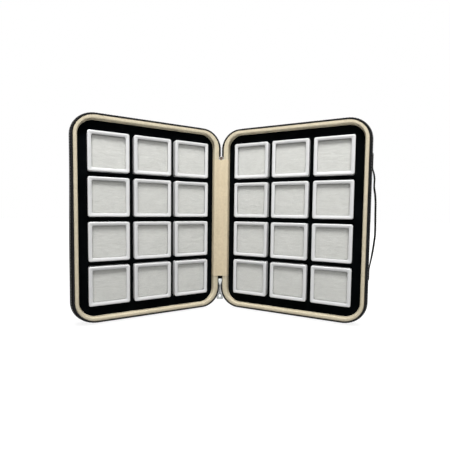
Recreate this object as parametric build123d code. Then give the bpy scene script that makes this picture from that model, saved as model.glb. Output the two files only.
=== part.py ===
from build123d import *

import os
from math import cos, radians, sin, tan

# Case of clear boxes: two shallow leaves joined like a book, each holding a foam insert with
# twelve square display boxes, closed by a zip that runs round three sides. It stands open on its
# lower edge. Millimetres, +Z up, viewer on the -Y side, origin under the middle of its footprint.
#
# A leaf is drawn in its own frame first: X runs outwards from the hinge axis, Y is the depth
# behind the parting plane in which the two leaves meet, and Z is the height from the middle row.

# Display boxes and the grid they sit in
box_side = 40.0
box_depth = 16.0
box_corner_radius = 2.0
box_front_depth = 1.0
box_proud = 5.6
gap_across = 4.6
gap_up = 5.2
columns = 3
rows = 4

# Lid of a box: a flange round the window, a skirt behind it and a clear pane
window_side = 32.0
window_corner_radius = 1.0
window_bevel_width = 2.6
window_bevel_drop = 1.0
lid_depth = 8.0
lid_flange = 1.4
lid_wall = 1.2
lid_edge_radius = 0.8
pane_thickness = 1.0
pane_clearance = 0.2
least_radius = 0.3

# Tray of a box: a floor, a wall and an upstand that the lid's skirt slides over
tray_wall = 1.2
tray_floor = 1.2
upstand_gap = 1.6
lid_clearance = 0.2

# Foam pad in the tray
pad_gap = 1.2
pad_clearance = 0.2
pad_corner_radius = 2.0
pad_edge_radius = 1.2

# Moulded shell, and the swell of its side walls
shell_wall = 1.4
shell_floor = 2.0
shell_back_radius = 6.0
side_swell = 2.2
swell_start_depth = 3.0
swell_full_depth = 8.0
swell_steps = 4

# Leaf outline at the zip: the grid of boxes and a margin on each side
hinge_gap = 1.4
hinge_margin = 15.2
outer_margin = 13.8
end_margin = 16.6
leaf_corner_radius = 22.0

# Foam insert and padded rim
insert_floor = 3.0
pocket_clearance = 0.3
seat_clearance = 0.1
rim_width = 4.3
rim_corner_easing = 1.2
rim_crown_radius = 1.7
rim_crown_limit = 0.4

# Zip: tape sewn to the shell's edge, and the coil along the tape
coil_front_depth = 0.3
coil_depth = 2.2
tape_depth = 2.0
tape_thickness = 0.6
zip_clearance = 0.3
zip_stop_length = 3.0

# Hinge strip: a lining over the two rims inside, and a cover over the two hinge walls outside
strip_top_margin = 11.9
strip_bottom_margin = 12.9
lining_front_depth = 0.3
lining_thickness = 0.6
cover_thickness = 0.7
cover_fold = 0.5

# Slider and pull tab, hanging on the hinge axis at the lower end of the zip
zip_top_gap = 1.0
slider_gap = 2.5
slider_length = 7.0
slider_width = 4.4
slider_thickness = 2.6
slider_edge_radius = 0.6
slider_groove_width = 0.9
slider_groove_depth = 1.0
lug_width = 2.0
lug_radius = 2.3
lug_axis_back = 3.0
lug_axis_drop = 3.3
lug_bore = 1.8
tab_thickness = 1.0
tab_cheek = 0.8
tab_eye_rise = 1.4
tab_neck_width = 2.0
tab_neck_gap = 0.5
tab_flare_drop = 12.7
tab_wide_drop = 18.2
tab_length = 22.5
tab_end_width = 8.0
tab_end_radius = 1.5
tab_hole = 3.0
tab_hole_rise = 4.0

# Strap handle, sewn flat to the outer wall of the right leaf at both ends
strap_thickness = 1.5
strap_width = 9.0
strap_set_forward = 0.7
strap_corner_radius = 2.0
bend_share = 0.45

# Route of the strap: height, and how far its inner face stands off the wall
strap_route = [
    (69, 0), (49, 0), (42.5, 2.4), (35, 1.6), (18, 4.1),
    (3, 3.6), (-12, 4.3), (-26, 2.8), (-37, 0), (-59, 0)]

# Each leaf is turned this far towards the viewer from lying flat
leaf_angle = 25.4

# Overshoot of a cut past the face that it goes through
past = 1.0

# Places worked out from the sizes above: the grid and the leaf's outline
pitch_across = box_side + gap_across
pitch_up = box_side + gap_up
first_column = hinge_gap + hinge_margin + box_side / 2
leaf_reach = first_column + (columns - 1) * pitch_across + box_side / 2 + outer_margin
leaf_half_height = ((rows - 1) * pitch_up + box_side) / 2 + end_margin
straight_half_height = leaf_half_height - leaf_corner_radius

# Depths behind the parting plane, from the front of a box to the back of the shell
flange_back = box_front_depth + lid_flange
pane_back = flange_back + pane_thickness
pad_front_depth = pane_back + pad_gap
upstand_depth = pane_back + upstand_gap
insert_front_depth = box_front_depth + box_proud
lid_seam_depth = box_front_depth + lid_depth
box_back_depth = box_front_depth + box_depth
floor_depth = box_back_depth + insert_floor
shell_back_depth = floor_depth + shell_floor
coil_back_depth = coil_front_depth + coil_depth
shell_front_depth = coil_back_depth + tape_depth
rim_front_depth = lining_front_depth + lining_thickness + seat_clearance

# Fits: the coil is as thick as the shell's wall less a clearance, and the insert fills the shell
coil_thickness = shell_wall - seat_clearance
insert_inset = shell_wall + seat_clearance
rim_inset = insert_inset + rim_width
skirt_inner = box_side - 2 * lid_wall
skirt_radius = max(box_corner_radius - lid_wall, least_radius)
pin_diameter = lug_bore - 2 * zip_clearance

# Heights from the middle row, along the hinge
strip_top_height = straight_half_height - strip_top_margin
strip_bottom_height = strip_bottom_margin - straight_half_height
zip_top_height = strip_top_height + zip_top_gap
slider_top_height = strip_bottom_height - slider_gap
lug_axis_height = slider_top_height - lug_axis_drop


# Shared shapes

def plane_at(depth):
    """The plane at one depth, with X to the right and Z up."""
    return Plane(origin=(0, depth, 0), x_dir=(1, 0, 0), z_dir=(0, -1, 0))


def slab(face, front, back):
    """A drawn outline made solid from one depth to another."""
    return extrude(plane_at(front) * face, amount=front - back)


def square(side, radius):
    """A square with rounded corners, centred on its box."""
    return RectangleRounded(side, side, radius)


def swell(depth):
    """How far the side wall stands out at one depth: a quarter sine wave, then level."""
    share = (min(depth, swell_full_depth) - swell_start_depth) / (swell_full_depth - swell_start_depth)
    return side_swell * sin(radians(90 * share))


def leaf_outline(inset, growth=0.0, radius=None):
    """The leaf's outline drawn in all round, and grown on the three sides that the zip follows."""
    left = hinge_gap + inset
    right = leaf_reach - inset + growth
    height = 2 * (leaf_half_height - inset + growth)
    corner = leaf_corner_radius - inset + growth if radius is None else radius
    return Pos((left + right) / 2, 0) * RectangleRounded(right - left, height, corner)


def swollen_block(inset, front, back, back_radius):
    """A block with the leaf's swollen sides and a rounded back edge, drawn in all round."""
    step = (swell_full_depth - front) / (swell_steps - 1)
    depths = [front + step * i for i in range(swell_steps)]
    sections = [plane_at(depth) * leaf_outline(inset, swell(depth)) for depth in depths]
    block = slab(leaf_outline(inset, side_swell), swell_full_depth, back)
    back_edges = block.faces().sort_by(Axis.Y)[-1].edges()
    return loft(sections, ruled=True) + fillet(back_edges, back_radius)


# Moulded shell of one leaf

def make_shell():
    """An open tray with swollen sides: the outer block less the same block drawn in by the wall."""
    outer = swollen_block(0, shell_front_depth, shell_back_depth, shell_back_radius)
    hollow = swollen_block(shell_wall, shell_front_depth, floor_depth, shell_back_radius - shell_wall)
    return outer - hollow


# Foam insert of one leaf

def box_centres():
    """The middle of each box: column letters outwards from the hinge, row numbers from the top."""
    for column in range(columns):
        for row in range(rows):
            across = first_column + column * pitch_across
            height = ((rows - 1) / 2 - row) * pitch_up
            yield chr(ord("a") + column) + str(row + 1), across, height


def make_insert():
    """A foam block in the shell, with a square pocket for each box."""
    block = slab(leaf_outline(insert_inset), insert_front_depth, floor_depth)
    back_edges = block.faces().sort_by(Axis.Y)[-1].edges()
    block = fillet(back_edges, shell_back_radius - insert_inset)
    pocket_face = square(box_side + 2 * pocket_clearance, box_corner_radius + pocket_clearance)
    pocket = slab(pocket_face, insert_front_depth - past, box_back_depth)
    return block - [Pos(across, 0, height) * pocket for _, across, height in box_centres()]


# Padded rim of one leaf

def make_rim():
    """A padded ring on the border of the insert, with a rounded crown."""
    inner_face = leaf_outline(rim_inset, radius=leaf_corner_radius - rim_inset - rim_corner_easing)
    ring = slab(leaf_outline(insert_inset) - inner_face, rim_front_depth, insert_front_depth)
    crown_edges = ring.faces().sort_by(Axis.Y)[0].edges()
    return fillet(crown_edges, min(rim_crown_radius, rim_crown_limit * rim_width))


# Zip of one leaf

def make_zip():
    """The coil and the tape behind it, open on the hinge side between the two ends."""
    coil_middle = coil_thickness / 2
    coil_face = leaf_outline(0) - leaf_outline(coil_thickness)
    tape_face = leaf_outline(coil_middle - tape_thickness / 2) - leaf_outline(coil_middle + tape_thickness / 2)
    coil = slab(coil_face, coil_front_depth, coil_back_depth)
    tape = slab(tape_face, coil_back_depth, shell_front_depth)
    gap_top = zip_top_height
    gap_bottom = slider_top_height - slider_length - zip_clearance
    gap_width = 2 * (hinge_gap + coil_thickness + past)
    gap_face = Pos(0, (gap_top + gap_bottom) / 2) * Rectangle(gap_width, gap_top - gap_bottom)
    gap = slab(gap_face, coil_front_depth - past, shell_front_depth + past)
    return [coil - gap, tape - gap]


def make_zip_stop():
    """The closed end of the zip, a small round block on the hinge axis."""
    radius = hinge_gap - zip_clearance
    return Pos(0, 0, zip_top_height + zip_stop_length / 2) * Cylinder(radius, zip_stop_length)


# Slider and pull tab, on the hinge axis

def make_slider():
    """A grooved slider body with a bored lug behind it for the pull tab."""
    middle = slider_top_height - slider_length / 2
    body = Pos(0, 0, middle) * Box(slider_width, slider_thickness, slider_length)
    body = fillet(body.edges().filter_by(Axis.Z), slider_edge_radius)
    groove = Box(2 * slider_groove_depth, slider_groove_width, slider_length + 2 * past)
    for side in (-1, 1):
        body -= Pos(side * slider_width / 2, 0, middle) * groove
    lug = Pos(0, lug_axis_back / 2, lug_axis_height) * Box(lug_width, lug_axis_back, 2 * lug_radius)
    lug += Pos(0, lug_axis_back, lug_axis_height) * Rot(0, 90, 0) * Cylinder(lug_radius, lug_width)
    bore = Rot(0, 90, 0) * Cylinder(lug_bore / 2, slider_width)
    return body + lug - Pos(0, lug_axis_back, lug_axis_height) * bore


def make_tab():
    """A pull tab that hangs from a cross pin in the lug and widens below the two rounded corners."""
    cheek_inner = lug_width / 2 + zip_clearance
    eye_width = 2 * (cheek_inner + tab_cheek)
    neck_top = -(lug_radius + tab_neck_gap)
    eye_bottom = neck_top - tab_cheek
    half_neck = tab_neck_width / 2
    half_end = tab_end_width / 2
    eye = Pos(0, (tab_eye_rise + eye_bottom) / 2) * Rectangle(eye_width, tab_eye_rise - eye_bottom)
    eye_opening = Pos(0, (tab_eye_rise + past + neck_top) / 2) * Rectangle(
        2 * cheek_inner, tab_eye_rise + past - neck_top)
    blade = make_face(Polyline(
        (-half_neck, eye_bottom + tab_cheek / 2), (-half_neck, -tab_flare_drop),
        (-half_end, -tab_wide_drop), (-half_end, -tab_length),
        (half_end, -tab_length), (half_end, -tab_wide_drop),
        (half_neck, -tab_flare_drop), (half_neck, eye_bottom + tab_cheek / 2), close=True))
    blade = fillet(blade.vertices().sort_by(Axis.Y)[:2], tab_end_radius)
    hole = Pos(0, tab_hole_rise - tab_length) * Circle(tab_hole / 2)
    front = lug_axis_back - tab_thickness / 2
    back = lug_axis_back + tab_thickness / 2
    plate = slab(eye - eye_opening + blade - hole, front, back)
    pin = Pos(0, lug_axis_back, 0) * Rot(0, 90, 0) * Cylinder(pin_diameter / 2, eye_width)
    return Pos(0, 0, lug_axis_height) * (plate + pin)


# Hinge strip, drawn in the standing frame: it bends from one leaf to the other

def leaf_point(across, depth):
    """A point of the right leaf's frame, turned to where the leaf stands."""
    turn = radians(leaf_angle)
    return (across * cos(turn) + depth * sin(turn), depth * cos(turn) - across * sin(turn))


def mirrored_band(right_half):
    """An upright band between the strip's two ends, from the outline of its right half."""
    left_half = [(-x, y) for x, y in reversed(right_half) if x > 0]
    outline = make_face(Polyline(*right_half, *left_half, close=True))
    return extrude(Pos(0, 0, strip_bottom_height) * outline, amount=strip_top_height - strip_bottom_height)


def make_lining():
    """The inner strip: over both rims, and down to the insert on each side."""
    near = hinge_gap + rim_inset + seat_clearance
    far = near + lining_thickness
    front = lining_front_depth
    back = front + lining_thickness
    turn = radians(leaf_angle)
    right_half = [
        (0, front / cos(turn)), leaf_point(far, front), leaf_point(far, insert_front_depth),
        leaf_point(near, insert_front_depth), leaf_point(near, back), (0, back / cos(turn))]
    band = mirrored_band(right_half)
    fold_edges = band.edges().filter_by(Axis.Z).sort_by(Axis.Y)
    return fillet(fold_edges[:2], rim_crown_radius)


def make_cover():
    """The outer strip: along both hinge walls, and straight across behind the hinge axis."""
    outer = hinge_gap - seat_clearance
    inner = outer - cover_thickness
    back = shell_back_depth - shell_back_radius
    fold = shell_front_depth + cover_fold
    right_half = [
        leaf_point(outer, fold), leaf_point(outer, back),
        leaf_point(inner, back), leaf_point(inner, fold + cover_thickness)]
    return mirrored_band(right_half)


# Strap handle of the right leaf

def bend_radii(points):
    """The largest arcs that the runs of a route leave room for, one at each corner."""
    corners = [Vector(point) for point in points]
    radii = []
    for before, here, after in zip(corners, corners[1:], corners[2:]):
        shorter = min((here - before).length, (after - here).length)
        turn = radians((here - before).get_angle(after - here))
        radii.append(bend_share * shorter / tan(turn / 2))
    return radii


def make_handle():
    """A limp strap: two flat ends on the wall, and a free span that stands off it between them."""
    middle = leaf_reach + side_swell + strap_thickness / 2
    points = [(middle + gap, height) for height, gap in strap_route]
    flat_middle = (swell_full_depth + shell_back_depth - shell_back_radius) / 2
    path = plane_at(flat_middle - strap_set_forward) * FilletPolyline(*points, radius=bend_radii(points))
    start = Plane(origin=path @ 0, x_dir=(0, 1, 0), z_dir=path % 0)
    strap = sweep(start * Rectangle(strap_width, strap_thickness), path=path)
    corner_edges = strap.edges().filter_by(Axis.X)
    return fillet(corner_edges, strap_corner_radius)


# One display box, drawn in the middle of the leaf's frame

def make_lid():
    """The frame of the lid, sloping in to its window, with its clear pane seated behind the flange."""
    block = slab(square(box_side, box_corner_radius), box_front_depth, lid_seam_depth)
    block = fillet(block.faces().sort_by(Axis.Y)[0].edges(), lid_edge_radius)
    frame = block - slab(square(skirt_inner, skirt_radius), flange_back, lid_seam_depth + past)
    frame -= slab(square(window_side, window_corner_radius), box_front_depth - past, flange_back + past)
    front_face = frame.faces().sort_by(Axis.Y)[0]
    window_edges = front_face.inner_wires()[0].edges()
    frame = chamfer(window_edges, window_bevel_width, window_bevel_drop, reference=front_face)
    pane_side = skirt_inner - 2 * pane_clearance
    pane = slab(square(pane_side, skirt_radius), flange_back, pane_back)
    return [frame, pane]


def make_tray():
    """The tray with its upstand, and the foam pad in it."""
    upstand_side = skirt_inner - 2 * lid_clearance
    hollow_side = upstand_side - 2 * tray_wall
    pad_side = hollow_side - 2 * pad_clearance
    pad_back = box_back_depth - tray_floor
    tray = slab(square(box_side, box_corner_radius), lid_seam_depth, box_back_depth)
    tray += slab(square(upstand_side, skirt_radius), upstand_depth, lid_seam_depth)
    tray -= slab(square(hollow_side, skirt_radius), upstand_depth - past, pad_back)
    pad = slab(square(pad_side, pad_corner_radius), pad_front_depth, pad_back)
    pad = fillet(pad.faces().sort_by(Axis.Y)[0].edges(), pad_edge_radius)
    return [tray, pad]


# Assembly

def on_right(solids):
    """Solids of the leaf's frame, turned to where the right leaf stands."""
    return [Rot(0, 0, -leaf_angle) * solid for solid in solids]


def on_left(solids):
    """The same solids mirrored to the left leaf."""
    return [mirror(solid, about=Plane.YZ) for solid in on_right(solids)]


nodes = {}
for side, place in (("left", on_left), ("right", on_right)):
    nodes[side + "_shell"] = place([make_shell()])
    nodes[side + "_insert"] = place([make_insert()])
    nodes[side + "_rim"] = place([make_rim()])
    nodes[side + "_zip"] = place(make_zip())
    for label, across, height in box_centres():
        spot = Pos(across, 0, height)
        nodes[side + "_" + label + "_tray"] = place([spot * solid for solid in make_tray()])
        nodes[side + "_" + label + "_lid"] = place([spot * solid for solid in make_lid()])
nodes["left_zip"].append(make_zip_stop())
nodes["zip_slider"] = [make_slider()]
nodes["zip_pull_tab"] = [make_tab()]
nodes["hinge_strip"] = [make_lining(), make_cover()]
nodes["handle"] = on_right([make_handle()])

# The origin goes under the middle of the standing case
whole = Compound(children=[Compound(solids) for solids in nodes.values()]).bounding_box()
shift = Pos(-whole.center().X, -whole.center().Y, -whole.min.Z)
print("hinge axis at", round(-whole.center().X, 4), round(-whole.center().Y, 4))
print("middle row height", round(-whole.min.Z, 4), "size", whole.size)

os.makedirs("parts", exist_ok=True)
for name, solids in nodes.items():
    export_step(shift * Compound(solids), "parts/" + name + ".step")
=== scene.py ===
from math import pi, radians, tan

import bmesh
import bpy
import numpy as np
from mathutils import Matrix, Vector
from numpy import array, clip, concatenate, cos, full, interp, linspace, sin, sqrt, stack


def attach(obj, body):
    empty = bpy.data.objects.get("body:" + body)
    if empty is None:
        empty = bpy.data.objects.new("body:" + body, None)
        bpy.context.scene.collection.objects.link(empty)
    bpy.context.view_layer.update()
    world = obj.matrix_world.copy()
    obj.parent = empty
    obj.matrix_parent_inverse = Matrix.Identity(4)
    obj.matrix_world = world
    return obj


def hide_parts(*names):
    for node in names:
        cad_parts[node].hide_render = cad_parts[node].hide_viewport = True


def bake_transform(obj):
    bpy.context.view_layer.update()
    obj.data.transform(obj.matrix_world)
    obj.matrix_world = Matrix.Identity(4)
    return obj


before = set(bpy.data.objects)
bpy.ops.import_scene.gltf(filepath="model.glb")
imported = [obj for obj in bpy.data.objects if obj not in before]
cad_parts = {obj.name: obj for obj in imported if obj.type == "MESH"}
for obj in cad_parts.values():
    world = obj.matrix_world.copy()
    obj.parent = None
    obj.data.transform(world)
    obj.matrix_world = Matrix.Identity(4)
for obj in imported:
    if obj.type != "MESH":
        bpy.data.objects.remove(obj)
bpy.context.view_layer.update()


# The place of the photographer.
# The case stands open like a book, and was seen from in front of its hinge, a little above its
# middle rows, by a wide lens held almost level.

view_place = Matrix.Translation((-0.01059, -0.33244, 0.11659))
view_turn = (Matrix.Rotation(radians(-1.493), 4, "Z") @ Matrix.Rotation(radians(-2.822), 4, "X")
             @ Matrix.Rotation(radians(-0.626), 4, "Y") @ Matrix.Rotation(radians(90), 4, "X"))
photo_lens = bpy.data.cameras.new("photo_lens")
photo_lens.sensor_width = 36.0
photo_lens.lens = 23.80
photo_lens.shift_x = 0.0080
photo_lens.shift_y = 0.0009
photo_lens.clip_start = 0.01
camera = bpy.data.objects.new("photographer", photo_lens)
camera.matrix_world = view_place @ view_turn
bpy.context.scene.collection.objects.link(camera)
bpy.context.scene.camera = camera
bpy.context.scene.view_settings.view_transform = "Standard"


# The paper it stands on.
# White paper and a white wall behind, bright enough that only the case's own shadow shows.
# They belong to the studio.

class Wire:
    """An output socket of a node. Sums, differences and products of wires are Math nodes. The further
    names that a method takes are other sockets of its node."""

    def __init__(self, tree, socket=None):
        self.tree = tree
        self.socket = socket

    def node(self, kind, sockets=None, settings=None, output=0):
        """Adds one node with its settings, and its sockets' values or wires. Gives one output."""
        made = self.tree.nodes.new(kind)
        for name, value in (settings or {}).items():
            setattr(made, name, value)
        for name, value in (sockets or {}).items():
            socket = next(s for s in made.inputs if name in (s.identifier, s.name))
            if isinstance(value, Wire):
                self.tree.links.new(value.socket, socket)
            else:
                socket.default_value = value
        return Wire(self.tree, made.outputs[output] if made.outputs else None)

    def math(self, operation, first, second):
        """A Math node on two wires or numbers."""
        return self.node("ShaderNodeMath", {"Value": first, "Value_001": second}, {"operation": operation})

    def __add__(self, other):
        return self.math("ADD", self, other)

    def __sub__(self, other):
        return self.math("SUBTRACT", self, other)

    def __rsub__(self, other):
        return self.math("SUBTRACT", other, self)

    def __mul__(self, other):
        return self.math("MULTIPLY", self, other)

    __radd__ = __add__

    def between(self, low, high):
        """This wire stretched so that low gives 0 and high gives 1, and held there."""
        sockets = {"Value": self, "From Min": low, "From Max": high}
        return self.node("ShaderNodeMapRange", sockets, {"clamp": True})

    def tint(self, first, last):
        """A colour that goes from one to the other as this wire goes from 0 to 1."""
        sockets = {"Factor_Float": self, "A_Color": (*first, 1), "B_Color": (*last, 1)}
        return self.node("ShaderNodeMix", sockets, {"data_type": "RGBA"}, 2)

    def noise(self, scale, detail, **more):
        """Clouds at this wire's coordinates."""
        return self.node("ShaderNodeTexNoise", {"Vector": self, "Scale": scale, "Detail": detail, **more})

    def waves(self, direction, scale, **more):
        """Bands across one direction of this wire's coordinates."""
        sockets = {"Vector": self, "Scale": scale, **more}
        return self.node("ShaderNodeTexWave", sockets, {"bands_direction": direction}, "Fac")

    def cells(self, scale, **more):
        """Distance from the middle of a cell, with softened borders."""
        sockets = {"Vector": self, "Scale": scale, **more}
        return self.node("ShaderNodeTexVoronoi", sockets, {"feature": "SMOOTH_F1"}, "Distance")

    def stretched(self, x, y, z):
        """These coordinates, each multiplied by its own number."""
        return self.node("ShaderNodeMapping", {"Vector": self, "Scale": (x, y, z)})

    def bumps(self, strength, depth):
        """The normals of a surface with this wire as its height, and a depth in metres."""
        sockets = {"Strength": strength, "Distance": depth, "Height": self}
        return self.node("ShaderNodeBump", sockets, None, "Normal")


def paint(name, even, drawn):
    """A material: even holds the shader's values that are the same all over, and drawn works out
    the others from the object's own coordinates."""
    material = bpy.data.materials.new(name)
    material.use_nodes = True
    tree = material.node_tree
    tree.nodes.clear()
    place = Wire(tree).node("ShaderNodeTexCoord", output="Object")
    shader = place.node("ShaderNodeBsdfPrincipled", {**even, **drawn(place)})
    place.node("ShaderNodeOutputMaterial", {"Surface": shader})
    return material


def seen_plainly(wire):
    """1 for a ray from the camera, a mirror or a clear pane, and 0 for light that falls on things."""
    total = 0
    for ray in ("Is Camera Ray", "Is Glossy Ray", "Is Transmission Ray"):
        total = total + wire.node("ShaderNodeLightPath", output=ray)
    return total.math("MINIMUM", total, 1.0)


room = bpy.data.worlds.new("white_room")
room.use_nodes = True
bpy.context.scene.world = room
room.node_tree.nodes.clear()
air = Wire(room.node_tree)
soft_glow = air.node("ShaderNodeBackground", {"Color": (1, 1, 1, 1), "Strength": 0.17})
white_wall = air.node("ShaderNodeBackground", {"Color": (1, 1, 1, 1), "Strength": 1.0})
shown = air.node("ShaderNodeMixShader", {
    "Fac": seen_plainly(air), "Shader": soft_glow, "Shader_001": white_wall})
air.node("ShaderNodeOutputWorld", {"Surface": shown})


def white_paper(place):
    """White paper, with a glow for the eye alone that lifts it to the white of the wall."""
    far = place.node("ShaderNodeVectorMath", {"Vector": place}, {"operation": "LENGTH"}, "Value")
    glow = seen_plainly(place) * (0.86 + far.between(0.20, 0.60) * 0.14)
    return {
        "Base Color": place.noise(300.0, 3.0).tint((0.12, 0.12, 0.12), (0.14, 0.14, 0.14)),
        "Emission Color": glow.tint((0, 0, 0), (1, 1, 1))}


paper_half = 3.0
paper_corners = [(x * paper_half, y * paper_half, 0) for x, y in ((-1, -1), (1, -1), (1, 1), (-1, 1))]
paper_mesh = bpy.data.meshes.new("paper")
paper_mesh.from_pydata(paper_corners, [], [(0, 1, 2, 3)])
paper_mesh.materials.append(paint("paper", {"Roughness": 0.9, "Emission Strength": 1.0}, white_paper))
paper = bpy.data.objects.new("paper", paper_mesh)
bpy.context.scene.collection.objects.link(paper)


# The lamps.
# One broad lamp above and in front throws the short shadow under each box's upper edge, a large
# one beside the photographer fills it, and one behind keeps the back of the case readable.

def hang_lamp(name, place, aim, size, power):
    """A square area lamp at one place, turned so that it shines at another."""
    light = bpy.data.lights.new(name, "AREA")
    light.size = size
    light.energy = power
    lamp = bpy.data.objects.new(name, light)
    facing = (Vector(aim) - Vector(place)).to_track_quat("-Z", "Y").to_matrix().to_4x4()
    lamp.matrix_world = Matrix.Translation(place) @ facing
    bpy.context.scene.collection.objects.link(lamp)


hang_lamp("high_lamp", (-0.02, -0.33, 0.80), (0, 0, 0.12), 0.30, 7.8)
hang_lamp("front_lamp", (0.05, -1.30, 0.45), (0, 0, 0.10), 1.0, 4.4)
hang_lamp("back_lamp", (0.30, 1.20, 0.80), (0, 0, 0.10), 1.0, 26.0)


# The two moulded shells.
# Each is a shallow tray of stiff foam pressed in a mould with a black pebbled leatherette skin.
# Its side walls are a little full, its back is faintly domed, and a seam runs round beside the zip.

mm = 0.001
hinge_place = (-2.1939, 25.4539, 106.6)
leaf_angle = 25.4
hinge_gap = 1.4
leaf_reach = 159.6
leaf_half = 104.4
leaf_corner = 22.0
side_swell = 2.2
swell_depths = (3.0, 8.0)
shell_lip = 4.5
shell_depth = 22.0
back_radius = 6.0
shell_wall = 1.4
shell_floor = 2.0
shell_floor_rise = 4.6
shell_dome = 0.5
dome_reach = 34.0
pressed_most = 1.0
pressed_top = 60.0
pressed_height = 100.0
pressed_reach = 25.0
seam_depth = 5.3
seam_end = 60.0
stitch_pitch = 2.8
stitch_half = (0.95, 0.34, 0.36)


def walk(corner_steps, across_steps, up_steps):
    """Once round a rounded rectangle from its upper right corner, closed: each point's corner centre,
    as shares across and up, and the direction of its radius."""
    quarter = linspace(0, pi / 2, corner_steps + 1)
    spans = ((0, 1, 1, 0, 1, across_steps), (1, 0, 1, 0, 0, up_steps),
             (2, 0, 0, 1, 0, across_steps), (3, 1, 0, 1, 1, up_steps))
    runs = []
    for turn, u0, v0, u1, v1, steps in spans:
        share = concatenate([np.zeros(corner_steps + 1), np.arange(1, steps) / steps])
        turned = concatenate([quarter, full(steps - 1, pi / 2)]) + turn * pi / 2
        runs.append(stack([u0 + (u1 - u0) * share, v0 + (v1 - v0) * share, turned]))
    runs.append(runs[0][:, :1])
    return concatenate(runs, axis=1)


def rounded(left, right, low, high, radius, route):
    """Rounded rectangles, one a row: each corner centre plus the radius in its direction."""
    column = [array(value).reshape(-1, 1) for value in (left, right, low, high, radius)]
    left, right, low, high, radius = column
    u, v, turned = route
    x = left + radius + u * (right - left - 2 * radius) + radius * cos(turned)
    z = low + radius + v * (high - low - 2 * radius) + radius * sin(turned)
    return x, z


def at_depths(x, depth, z):
    """A grid of points with one depth to each row."""
    return stack([x, np.broadcast_to(array(depth)[:, None], x.shape), z], -1)


def rings(profile, route):
    """Rounded rectangles round the middle: a (half across, half up, radius, depth) for each."""
    half_across, half_up, radius, depth = array(profile).T
    x, z = rounded(-half_across, half_across, -half_up, half_up, radius, route)
    return at_depths(x, depth, z)


def leaf_rings(profile, route, easing=0.0):
    """The leaf's outline drawn in, grown and set back as each row of the profile says."""
    inset, growth, depth = array(profile).T
    radius = np.maximum(leaf_corner - inset + growth - easing, 0.05)
    half = leaf_half - inset + growth
    x, z = rounded(hinge_gap + inset, leaf_reach - inset + growth, -half, half, radius, route)
    return at_depths(x, depth, z)


def quarter_turn(start, end, steps, hollow=False):
    """Points of a quarter ellipse between two points of a profile: sine one way, cosine the other."""
    angle = linspace(0, pi / 2, steps)
    first, second = (sin(angle), 1 - cos(angle)) if hollow else (1 - cos(angle), sin(angle))
    return [(start[0] + (end[0] - start[0]) * a, start[1] + (end[1] - start[1]) * b)
            for a, b in zip(first, second)]


def stand(side, points):
    """From a leaf's own frame (across, deep, up) to where it stands, in metres: turned about the
    hinge, and mirrored for the left one."""
    turn = radians(leaf_angle)
    s, d, z = np.moveaxis(points, -1, 0)
    sign = -1 if side == "left" else 1
    x = hinge_place[0] + sign * (s * cos(turn) + d * sin(turn))
    y = hinge_place[1] + d * cos(turn) - s * sin(turn)
    return stack([x, y, hinge_place[2] + z], -1) * mm


def lengths(grid):
    """Distances along a grid's rows and down its columns, as a UV map in metres."""
    along = np.linalg.norm(np.diff(grid, axis=-2), axis=-1).mean(axis=-2)
    down = np.linalg.norm(np.diff(grid, axis=-3), axis=-1).mean(axis=-1)
    u = concatenate([np.zeros(along.shape[:-1] + (1,)), np.cumsum(along, -1)], -1)
    v = concatenate([np.zeros(down.shape[:-1] + (1,)), np.cumsum(down, -1)], -1)
    shape = grid.shape[:-1]
    return stack([np.broadcast_to(u[..., None, :], shape), np.broadcast_to(v[..., :, None], shape)], -1)


def add_piece(name, grids, material, body, maps=None, crease=38):
    """One mesh from grids of points, riding on one body: a face between every four neighbours, with
    doubles merged. A grid may hold many like grids in its first axis."""
    maps = maps or [lengths(grid) for grid in grids]
    points, corners, spots, count = [], [], [], 0
    for grid, spot in zip(grids, maps):
        index = count + np.arange(grid[..., 0].size).reshape(grid.shape[:-1])
        quads = [index[..., :-1, :-1], index[..., 1:, :-1], index[..., 1:, 1:], index[..., :-1, 1:]]
        points.append(grid.reshape(-1, 3))
        spots.append(spot.reshape(-1, 2))
        corners.append(stack(quads, -1).reshape(-1, 4))
        count += grid[..., 0].size
    corners = concatenate(corners)
    mesh = bpy.data.meshes.new(name)
    mesh.from_pydata(concatenate(points), [], corners)
    unwrapped = mesh.uv_layers.new(name="lengths")
    unwrapped.data.foreach_set("uv", concatenate(spots)[corners.ravel()].astype(np.float32).ravel())
    working = bmesh.new()
    working.from_mesh(mesh)
    bmesh.ops.remove_doubles(working, verts=working.verts, dist=2e-6)
    bmesh.ops.recalc_face_normals(working, faces=working.faces)
    working.to_mesh(mesh)
    working.free()
    mesh.shade_smooth()
    mesh.set_sharp_from_angle(angle=radians(crease))
    mesh.materials.append(material)
    piece = bpy.data.objects.new(name, mesh)
    bpy.context.scene.collection.objects.link(piece)
    if body:
        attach(piece, body)
    return piece


def pebbled_leather(place):
    """Pebbles about a millimetre across, with painted shade that darkens the creases and painted glints that
    make the tops paler, more so in patches.
    """
    top = 1 - place.cells(950.0, Smoothness=0.5, Randomness=0.9).between(0.12, 0.62)
    leather_patches = place.noise(22.0, 4.0)
    # Painted glints on the pebble tops and painted shade in the creases between them, stronger in patches.
    painted_glint_and_crease_shade = leather_patches.between(0.42, 0.68) * top * 0.6 + top * 0.25
    height = top * 0.8 + place.noise(4200.0, 3.0) * 0.2
    return {
        "Base Color": painted_glint_and_crease_shade.tint((0.0009, 0.0010, 0.0012), (0.017, 0.018, 0.018)),
        "Roughness": 0.66 - top * 0.20 + leather_patches * 0.08,
        "Normal": height.bumps(1.0, 0.00042)}


def twisted_thread(dark, light):
    """Twisted nylon thread: fine slanting strands."""
    def drawn(place):
        strand = place.waves("DIAGONAL", 900.0, Distortion=1.5)
        return {"Base Color": strand.tint(dark, light), "Normal": strand.bumps(0.7, 0.00008)}
    return drawn


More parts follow.
